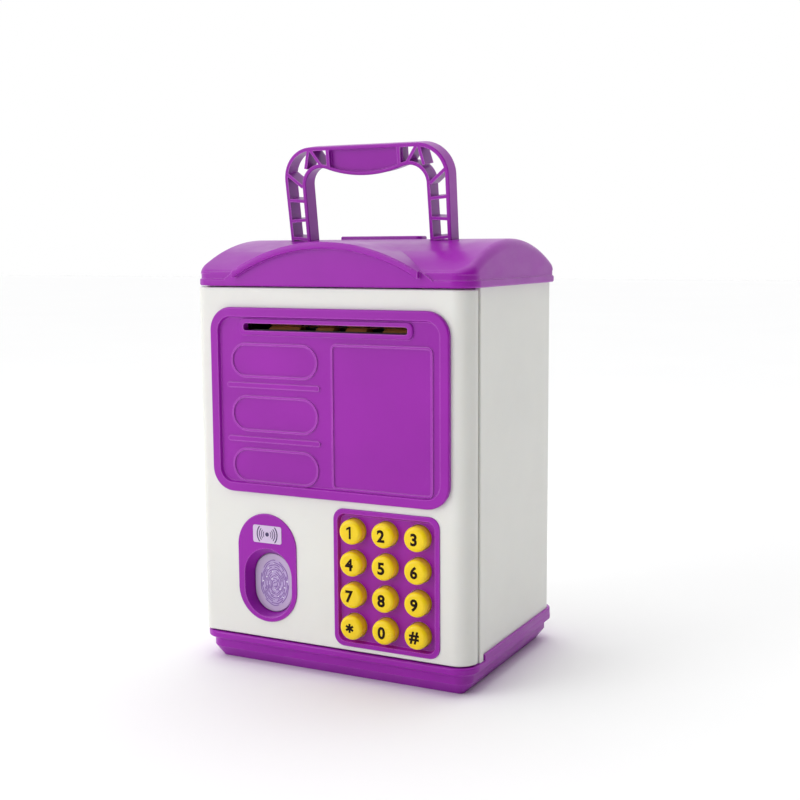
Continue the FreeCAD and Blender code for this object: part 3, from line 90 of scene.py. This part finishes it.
class Shader:
    """A material with short calls for adding and joining its nodes."""

    def __init__(self, name):
        self.material = bpy.data.materials.new(name)
        self.material.use_nodes = True
        self.tree = self.material.node_tree
        self.tree.nodes.clear()
        self.output = self.add("ShaderNodeOutputMaterial")
        self.surface = self.add("ShaderNodeBsdfPrincipled")
        self.join(self.surface.outputs["BSDF"], self.output.inputs["Surface"])

    def add(self, kind, **settings):
        node = self.tree.nodes.new(kind)
        for key, value in settings.items():
            setattr(node, key, value)
        return node

    def join(self, source, target):
        self.tree.links.new(source, target)

    def set(self, **values):
        """Constants on the shader's own sockets, named with underscores for spaces."""
        for key, value in values.items():
            self.surface.inputs[key.replace("_", " ")].default_value = value

    def place(self, stretch=(1.0, 1.0, 1.0)):
        """Object coordinates in metres, stretched along the axes."""
        coordinates = self.add("ShaderNodeTexCoord")
        mapping = self.add("ShaderNodeMapping")
        mapping.inputs["Scale"].default_value = stretch
        self.join(coordinates.outputs["Object"], mapping.inputs["Vector"])
        return mapping.outputs["Vector"]

    def noise(self, scale, detail=3.0, roughness=0.55, stretch=(1.0, 1.0, 1.0)):
        node = self.add("ShaderNodeTexNoise")
        node.inputs["Scale"].default_value = scale
        node.inputs["Detail"].default_value = detail
        node.inputs["Roughness"].default_value = roughness
        self.join(self.place(stretch), node.inputs["Vector"])
        return node.outputs["Fac"]

    def spread(self, source, low_in, high_in, low_out, high_out):
        node = self.add("ShaderNodeMapRange")
        limits = {"From Min": low_in, "From Max": high_in, "To Min": low_out, "To Max": high_out}
        for key, value in limits.items():
            node.inputs[key].default_value = value
        self.join(source, node.inputs["Value"])
        return node.outputs["Result"]

    def mix(self, factor, first, second):
        """A colour mixed from two colours or sockets."""
        node = self.add("ShaderNodeMix", data_type="RGBA")
        self.join(factor, node.inputs["Factor"])
        for value, socket in ((first, node.inputs["A"]), (second, node.inputs["B"])):
            if isinstance(value, tuple):
                socket.default_value = (*value, 1.0)
            else:
                self.join(value, socket)
        return node.outputs["Result"]

    def math(self, operation, first, second):
        node = self.add("ShaderNodeMath", operation=operation)
        for value, socket in ((first, node.inputs[0]), (second, node.inputs[1])):
            if isinstance(value, (int, float)):
                socket.default_value = value
            else:
                self.join(value, socket)
        return node.outputs["Value"]

    def bump(self, height, strength, distance, edge_radius=0.0):
        """Fine relief, over edges softened by a small radius."""
        node = self.add("ShaderNodeBump")
        node.inputs["Strength"].default_value = strength
        node.inputs["Distance"].default_value = distance
        self.join(height, node.inputs["Height"])
        if edge_radius:
            bevel = self.add("ShaderNodeBevel", samples=4)
            bevel.inputs["Radius"].default_value = edge_radius
            self.join(bevel.outputs["Normal"], node.inputs["Normal"])
        self.join(node.outputs["Normal"], self.surface.inputs["Normal"])

    def edge_mask(self, radius):
        """1 along sharp edges and 0 on flat faces."""
        bevel = self.add("ShaderNodeBevel", samples=4)
        bevel.inputs["Radius"].default_value = radius
        geometry = self.add("ShaderNodeNewGeometry")
        dot = self.add("ShaderNodeVectorMath", operation="DOT_PRODUCT")
        self.join(bevel.outputs["Normal"], dot.inputs[0])
        self.join(geometry.outputs["Normal"], dot.inputs[1])
        return self.spread(dot.outputs["Value"], 0.95, 0.75, 0.0, 1.0)


def moulded_plastic(name, colour, shade, edge_highlight, roughness, grain=0.03, scatter=0.0, gloss=0.4):
    """Injection-moulded plastic: faint flow marks, fine grain, a painted highlight that makes the edges
    paler, and a soft gloss.
    """
    shader = Shader(name)
    flow = shader.spread(shader.noise(FLOW_SCALE, 4.0), 0.35, 0.65, 0.0, 1.0)
    body = shader.mix(flow, colour, shade)
    # Painted highlight: along sharp edges the colour is mixed toward a paler one, as if the edges caught the
    # light.
    edges = shader.math("MULTIPLY", shader.edge_mask(EDGE_WIDTH), HIGHLIGHT_SHARE)
    shader.join(shader.mix(edges, body, edge_highlight), shader.surface.inputs["Base Color"])
    smear = shader.noise(SMEAR_SCALE, 5.0, stretch=(1.0, 1.0, 2.5))
    shader.join(shader.spread(smear, 0.3, 0.7, roughness - 0.05, roughness + 0.07),
                shader.surface.inputs["Roughness"])
    shader.bump(shader.noise(GRAIN_SCALE, 2.0), grain, RELIEF)
    shader.set(Specular_IOR_Level=gloss, Coat_Weight=0.05, Coat_Roughness=0.25)
    if scatter:
        shader.set(Subsurface_Weight=scatter, Subsurface_Scale=0.004, Subsurface_Radius=(1.0, 0.7, 0.5))
    return shader.material


def brushed_metal(name, colour, roughness):
    """Plated steel with fine drawn lines."""
    shader = Shader(name)
    lines = shader.noise(900.0, 4.0, stretch=(0.08, 1.0, 1.0))
    shade = tuple(c * 0.72 for c in colour)
    shader.join(shader.mix(lines, colour, shade), shader.surface.inputs["Base Color"])
    shader.join(shader.spread(lines, 0.3, 0.7, roughness - 0.06, roughness + 0.1),
                shader.surface.inputs["Roughness"])
    shader.bump(lines, 0.12, RELIEF, 0.15 * MM)
    shader.set(Metallic=1.0)
    return shader.material


def rubber(name, colour, shade, roughness):
    """Matt rubber with a ground surface."""
    shader = Shader(name)
    patch = shader.noise(160.0, 5.0)
    shader.join(shader.mix(patch, colour, shade), shader.surface.inputs["Base Color"])
    shader.join(shader.spread(patch, 0.3, 0.7, roughness - 0.06, roughness + 0.08),
                shader.surface.inputs["Roughness"])
    shader.bump(shader.noise(1800.0, 3.0), 0.25, 2 * RELIEF)
    shader.set(Specular_IOR_Level=0.3)
    return shader.material


# Each finish gives its colour, a second tone mixed in at random as flow marks, the paler colour of the
# painted highlight along its edges, and its roughness.
MATERIALS = {
    "purple_plastic": moulded_plastic("purple_plastic", (0.338, 0.004, 0.415), (0.300, 0.003, 0.372),
                                      (0.78, 0.24, 0.84), 0.33, gloss=0.33),
    "white_plastic": moulded_plastic("white_plastic", (0.825, 0.822, 0.780), (0.795, 0.792, 0.755),
                                     (0.90, 0.90, 0.87), 0.33, scatter=0.08),
    "key_yellow": moulded_plastic("key_yellow", (0.96, 0.69, 0.0), (0.93, 0.65, 0.0),
                                  (1.0, 0.78, 0.05), 0.30, scatter=0.10),
    "lens_lilac": moulded_plastic("lens_lilac", (0.62, 0.50, 0.70), (0.58, 0.46, 0.67),
                                  (0.75, 0.66, 0.82), 0.14, grain=0.01, scatter=0.2),
    "label": moulded_plastic("label", (0.68, 0.55, 0.76), (0.64, 0.51, 0.73),
                             (0.74, 0.62, 0.80), 0.35, grain=0.02),
    "black_plastic": moulded_plastic("black_plastic", (0.012, 0.012, 0.013), (0.018, 0.017, 0.018),
                                     (0.05, 0.05, 0.05), 0.45),
    "white_nylon": moulded_plastic("white_nylon", (0.74, 0.72, 0.66), (0.70, 0.68, 0.62),
                                   (0.8, 0.78, 0.73), 0.42, scatter=0.1),
    "roller_rubber": rubber("roller_rubber", (0.72, 0.34, 0.11), (0.60, 0.27, 0.085), 0.55),
    "silicone": rubber("silicone", (0.30, 0.30, 0.32), (0.25, 0.25, 0.27), 0.5),
    "board": moulded_plastic("board", (0.015, 0.12, 0.035), (0.010, 0.09, 0.028), (0.10, 0.25, 0.10), 0.30),
    "steel": brushed_metal("steel", (0.62, 0.61, 0.59), 0.28),
    "cell_jacket": moulded_plastic("cell_jacket", (0.05, 0.06, 0.10), (0.035, 0.045, 0.08),
                                   (0.12, 0.13, 0.18), 0.22),
    "speaker_cone": rubber("speaker_cone", (0.030, 0.030, 0.032), (0.020, 0.020, 0.022), 0.6),
}
# These finishes too give, third in each list, the colour of the painted highlight along their edges.
KEY_INK = moulded_plastic("key_ink", (0.018, 0.007, 0.004), (0.012, 0.005, 0.003),
                          (0.018, 0.007, 0.004), 0.6, gloss=0.1)
ICON_INK = moulded_plastic("icon_ink", (0.050, 0.030, 0.120), (0.040, 0.024, 0.100),
                           (0.10, 0.07, 0.18), 0.45)
PRINT_FIELD = moulded_plastic("print_field", (0.60, 0.46, 0.74), (0.55, 0.41, 0.70),
                              (0.66, 0.52, 0.78), 0.20, grain=0.02, scatter=0.1)
PRINT_RIDGE = moulded_plastic("print_ridge", (0.26, 0.12, 0.44), (0.22, 0.10, 0.40),
                              (0.36, 0.22, 0.52), 0.25)
PRINT_SPARK = moulded_plastic("print_spark", (0.90, 0.86, 0.94), (0.86, 0.82, 0.92),
                              (0.95, 0.93, 0.98), 0.2)


# ---- the CAD nodes' finishes ----

def soften_shading(piece):
    """Round surfaces shade smoothly and flat ones stay flat."""
    for polygon in piece.data.polygons:
        polygon.use_smooth = True
    weld = piece.modifiers.new("weld", "WELD")
    weld.merge_threshold = 1e-6
    split = piece.modifiers.new("split", "EDGE_SPLIT")
    split.split_angle = math.radians(SHARP_EDGE)
    normals = piece.modifiers.new("normals", "WEIGHTED_NORMAL")
    normals.weight = 50


def finish_cad_nodes():
    """Each CAD node takes the material of its slot in the record."""
    for entry in frame["record"]["subparts"]:
        piece = frame["nodes"][entry["node"]]
        piece.data.materials.clear()
        piece.data.materials.append(MATERIALS[entry["material_slot"]])
        soften_shading(piece)


# ---- printed details ----

def new_piece(name, bm, material, body):
    """A mesh object made from bmesh data, riding on a CAD body."""
    bmesh.ops.recalc_face_normals(bm, faces=bm.faces)
    mesh = bpy.data.meshes.new(name)
    bm.to_mesh(mesh)
    bm.free()
    piece = bpy.data.objects.new(name, mesh)
    bpy.context.scene.collection.objects.link(piece)
    mesh.materials.append(material)
    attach(piece, body)


def add_plate(bm, outline, front, back):
    """A flat plate with the outline given as X and Z, between two Y planes."""
    near = [bm.verts.new((x, front, z)) for x, z in outline]
    far = [bm.verts.new((x, back, z)) for x, z in outline]
    bm.faces.new(near)
    bm.faces.new(far[::-1])
    for i in range(len(outline)):
        j = (i + 1) % len(outline)
        bm.faces.new((near[i], far[i], far[j], near[j]))


def add_ribbon(bm, path, width, front, back):
    """A thin raised line along a path given as X and Z, narrowing to its ends."""
    left, right = [], []
    last = len(path) - 1
    for i, (x, z) in enumerate(path):
        ax, az = path[max(i - 1, 0)]
        bx, bz = path[min(i + 1, last)]
        length = math.hypot(bx - ax, bz - az)
        half = width / 2 * (0.45 if i in (0, last) else 1.0)
        nx, nz = -(bz - az) / length * half, (bx - ax) / length * half
        left.append((x + nx, z + nz))
        right.append((x - nx, z - nz))
    left_front, left_back, right_front, right_back = [
        [bm.verts.new((x, y, z)) for x, z in side] for side in (left, right) for y in (front, back)]
    for i in range(last):
        bm.faces.new((left_front[i], left_front[i + 1], right_front[i + 1], right_front[i]))
        bm.faces.new((left_back[i + 1], left_back[i], right_back[i], right_back[i + 1]))
        bm.faces.new((left_front[i + 1], left_front[i], left_back[i], left_back[i + 1]))
        bm.faces.new((right_front[i], right_front[i + 1], right_back[i + 1], right_back[i]))
    bm.faces.new((left_front[0], right_front[0], right_back[0], left_back[0]))
    bm.faces.new((left_front[last], left_back[last], right_back[last], right_front[last]))


def arc(centre, radii, start, end, steps=14):
    """Points along part of an ellipse, the angles in degrees."""
    points = []
    for i in range(steps + 1):
        angle = math.radians(start + (end - start) * i / steps)
        points.append((centre[0] + radii[0] * math.cos(angle), centre[1] + radii[1] * math.sin(angle)))
    return points


def typeface_sign(sign):
    """The built-in typeface's sign as a flat mesh."""
    curve = bpy.data.curves.new("sign", "FONT")
    curve.body = sign
    curve.offset = SIGN_WEIGHT
    curve.resolution_u = 6
    holder = bpy.data.objects.new("sign", curve)
    bpy.context.scene.collection.objects.link(holder)
    bpy.context.view_layer.update()
    shown = holder.evaluated_get(bpy.context.evaluated_depsgraph_get())
    mesh = bpy.data.meshes.new_from_object(shown)
    bpy.data.objects.remove(holder)
    bpy.data.curves.remove(curve)
    return mesh


def drawn_sign(outline):
    """A sign drawn as one outline, as a flat mesh."""
    mesh = bpy.data.meshes.new("sign")
    mesh.from_pydata([(x, y, 0.0) for x, y in outline], [], [tuple(range(len(outline)))])
    return mesh


def star_outline():
    """Six short bars that cross in the middle."""
    outline = []
    for arm in range(6):
        angle = math.radians(90.0 + 60.0 * arm)
        along = Vector((math.cos(angle), math.sin(angle)))
        across = Vector((-along.y, along.x)) * ARM_HALF_WIDTH
        notch = math.radians(120.0 + 60.0 * arm)
        outline += [tuple(along * 0.5 - across), tuple(along * 0.5 + across),
                    (2.0 * ARM_HALF_WIDTH * math.cos(notch), 2.0 * ARM_HALF_WIDTH * math.sin(notch))]
    return outline


def sign_mesh(sign):
    """Star and one are drawn, and the other signs come from the typeface."""
    if sign == "*":
        return drawn_sign(star_outline())
    if sign == "1":
        return drawn_sign(ONE_OUTLINE)
    return typeface_sign(sign)


def print_key(node, sign, height):
    """The sign printed on a key's face, a hair's breadth proud of it."""
    low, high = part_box(node)
    centre = ((low[0] + high[0]) / 2, (low[2] + high[2]) / 2)
    bm = bmesh.new()
    flat = sign_mesh(sign)
    bm.from_mesh(flat)
    bpy.data.meshes.remove(flat)
    xs = [v.co.x for v in bm.verts]
    ys = [v.co.y for v in bm.verts]
    scale = height / (max(ys) - min(ys))
    middle = ((max(xs) + min(xs)) / 2, (max(ys) + min(ys)) / 2)
    face = low[1]
    for v in bm.verts:
        x, z = (v.co.x - middle[0]) * scale, (v.co.y - middle[1]) * scale
        v.co = (centre[0] + SIGN_SHIFT + x, face - INK_HEIGHT, centre[1] + z)
    bmesh.ops.remove_doubles(bm, verts=bm.verts, dist=1e-6)
    walls = bmesh.ops.extrude_face_region(bm, geom=bm.faces[:])
    for v in walls["geom"]:
        if isinstance(v, bmesh.types.BMVert):
            v.co.y = face + INK_HEIGHT
    new_piece("sign_" + node, bm, KEY_INK, node)


def print_keys():
    """A digit, star or hash on each key."""
    signs = [("key_%d" % number, str(number), SIGN_TALL) for number in range(10)]
    signs += [("key_star", "*", STAR_TALL), ("key_hash", "#", SIGN_TALL)]
    for node, sign, height in signs:
        print_key(node, sign, height)


def print_field(centre, face):
    """The print's ground: an oval with a ragged lower rim."""
    field = bmesh.new()
    rim = []
    for i in range(RIM_POINTS):
        angle = math.tau * i / RIM_POINTS
        rag = 0.018 * math.sin(11 * angle) + 0.014 * math.sin(17 * angle + 1.0)
        reach = 1.0 + rag * (math.sin(angle) < 0.3)
        rim.append((centre[0] + PRINT_WIDE * reach * math.cos(angle),
                    centre[1] + PRINT_TALL * reach * math.sin(angle)))
    add_plate(field, rim, face - FIELD_PROUD, face + 0.05 * MM)
    new_piece("print_field", field, PRINT_FIELD, "fingerprint_button")


def wavy(path, ring):
    """A ridge's path with a slow wobble."""
    points = []
    for i, (x, z) in enumerate(path):
        way = i / len(path)
        points.append((x + 0.10 * MM * math.sin(9.0 * way + ring), z + 0.12 * MM * math.sin(7.0 * way)))
    return points


def print_ridges(centre, face):
    """Rings of broken ridges round a low middle."""
    ridges = bmesh.new()
    for ring in range(1, RIDGE_RINGS + 1):
        share = ring / (RIDGE_RINGS + 0.35)
        middle = (centre[0], centre[1] - (1.0 - share) * 0.9 * MM)
        radii = (PRINT_WIDE * share, PRINT_TALL * share)
        cuts = 2 + ring // 3
        for part in range(cuts):
            start = 360.0 * part / cuts + 47.0 * ring
            end = start + 360.0 / cuts - 14.3 / share ** 0.6
            path = arc(middle, radii, start, end, steps=10 + 2 * ring)
            add_ribbon(ridges, wavy(path, ring), RIDGE_WIDTH, face - RIDGE_PROUD, face)
    new_piece("print_ridges", ridges, PRINT_RIDGE, "fingerprint_button")


def print_sparks(centre, face):
    """Bright flecks, spread like a sunflower's seeds."""
    sparks = bmesh.new()
    for i in range(SPARKS):
        angle = GOLDEN_ANGLE * i
        reach = math.sqrt((i + 0.5) / SPARKS) * 0.9
        place = (centre[0] + PRINT_WIDE * reach * math.cos(angle),
                 centre[1] + PRINT_TALL * reach * math.sin(angle))
        size = (0.13 + 0.07 * ((i * 7) % 4)) * MM
        fleck = arc(place, (size * 1.25, size), 15.0 * i, 15.0 * i + 300.0, steps=5)
        add_plate(sparks, fleck, face - SPARK_PROUD, face - 0.02 * MM)
    new_piece("print_sparks", sparks, PRINT_SPARK, "fingerprint_button")


def print_fingerprint():
    """A finger's whorl on the lens."""
    low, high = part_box("fingerprint_lens")
    centre = ((low[0] + high[0]) / 2 + PRINT_SHIFT, (low[2] + high[2]) / 2)
    for layer in (print_field, print_ridges, print_sparks):
        layer(centre, low[1])


def print_reader_icon():
    """A dot between waves, the general sign for a contactless reader."""
    low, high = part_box("icon_sticker")
    centre = ((low[0] + high[0]) / 2, (low[2] + high[2]) / 2)
    front, back = low[1] - INK_HEIGHT, low[1] + INK_HEIGHT
    icon = bmesh.new()
    add_plate(icon, arc(centre, (ICON_DOT, ICON_DOT), 0.0, 345.0, steps=23), front, back)
    for radius, spread, width in ICON_WAVES:
        for turn in (0.0, 180.0):
            wave = arc(centre, (radius * MM, radius * MM), turn - spread, turn + spread)
            add_ribbon(icon, wave, width * MM, front, back)
    new_piece("reader_icon", icon, ICON_INK, "door")


# ---- stage ----

def floor_material():
    """Matt pale paper with a faint mottle."""
    shader = Shader("floor_paper")
    shader.join(shader.mix(shader.noise(3.0), (0.93, 0.93, 0.93), (0.91, 0.91, 0.915)),
                shader.surface.inputs["Base Color"])
    shader.set(Roughness=0.95, Specular_IOR_Level=0.05)
    return shader.material


def stage():
    """Pale floor that the bank stands on."""
    mesh = bpy.data.meshes.new("floor")
    corners = [(x * FLOOR_HALF, y * FLOOR_HALF, 0) for x, y in ((-1, -1), (1, -1), (1, 1), (-1, 1))]
    mesh.from_pydata(corners, [], [(0, 1, 2, 3)])
    floor = bpy.data.objects.new("floor", mesh)
    bpy.context.scene.collection.objects.link(floor)
    mesh.materials.append(floor_material())


def front_light():
    """A soft box in front, to the left and above."""
    data = bpy.data.lights.new("front_light", "AREA")
    data.shape = "RECTANGLE"
    data.size, data.size_y = FRONT_LIGHT["size"]
    data.energy = FRONT_LIGHT["power"]
    lamp = bpy.data.objects.new("front_light", data)
    lamp.location = FRONT_LIGHT["place"]
    aim = Vector(FRONT_LIGHT["aim"]) - Vector(FRONT_LIGHT["place"])
    lamp.rotation_euler = aim.to_track_quat("-Z", "Y").to_euler()
    bpy.context.scene.collection.objects.link(lamp)


def sky_light():
    """A broad even light from the ceiling, the same at every distance."""
    data = bpy.data.lights.new("ceiling", "SUN")
    data.energy = CEILING_POWER
    data.angle = math.radians(CEILING_SPREAD)
    lamp = bpy.data.objects.new("ceiling", data)
    lamp.rotation_euler = Vector(CEILING_AIM).to_track_quat("-Z", "Y").to_euler()
    bpy.context.scene.collection.objects.link(lamp)


def white_room():
    """White walls behind and to the left, and darker ones to the right and in front."""
    world = bpy.data.worlds.new("room")
    world.use_nodes = True
    tree = world.node_tree
    place = tree.nodes.new("ShaderNodeTexCoord")
    side = tree.nodes.new("ShaderNodeVectorMath")
    side.operation = "DOT_PRODUCT"
    side.inputs[1].default_value = DARK_SIDE
    tree.links.new(place.outputs["Generated"], side.inputs[0])
    level = tree.nodes.new("ShaderNodeMapRange")
    level.interpolation_type = "SMOOTHSTEP"
    limits = {"From Min": WALL_TURN[0], "From Max": WALL_TURN[1], "To Min": 1.0, "To Max": DARK_WALL}
    for key, value in limits.items():
        level.inputs[key].default_value = value
    tree.links.new(side.outputs["Value"], level.inputs["Value"])
    tree.links.new(level.outputs["Result"], tree.nodes["Background"].inputs["Strength"])
    tree.nodes["Background"].inputs["Color"].default_value = (1.0, 1.0, 1.0, 1.0)
    bpy.context.scene.world = world


def lights():
    white_room()
    sky_light()
    front_light()


def camera():
    """The viewer stands in front and to the right, a little above the roof's height."""
    data = bpy.data.cameras.new("camera")
    data.sensor_width = 36.0
    data.lens = FRONT_VIEW["lens"]
    data.clip_start, data.clip_end = 0.01, 50.0
    eye = bpy.data.objects.new("camera", data)
    turn = Matrix.Rotation(math.radians(FRONT_VIEW["yaw"]), 4, "Z")
    tilt = Matrix.Rotation(math.radians(90.0 + FRONT_VIEW["pitch"]), 4, "X")
    roll = Matrix.Rotation(math.radians(FRONT_VIEW["roll"]), 4, "Z")
    eye.matrix_world = Matrix.Translation(CAMERA_AT) @ turn @ tilt @ roll
    bpy.context.scene.collection.objects.link(eye)
    bpy.context.scene.camera = eye


bpy.context.scene.view_settings.view_transform = "Standard"
camera()
stage()
lights()
finish_cad_nodes()
print_keys()
print_fingerprint()
print_reader_icon()
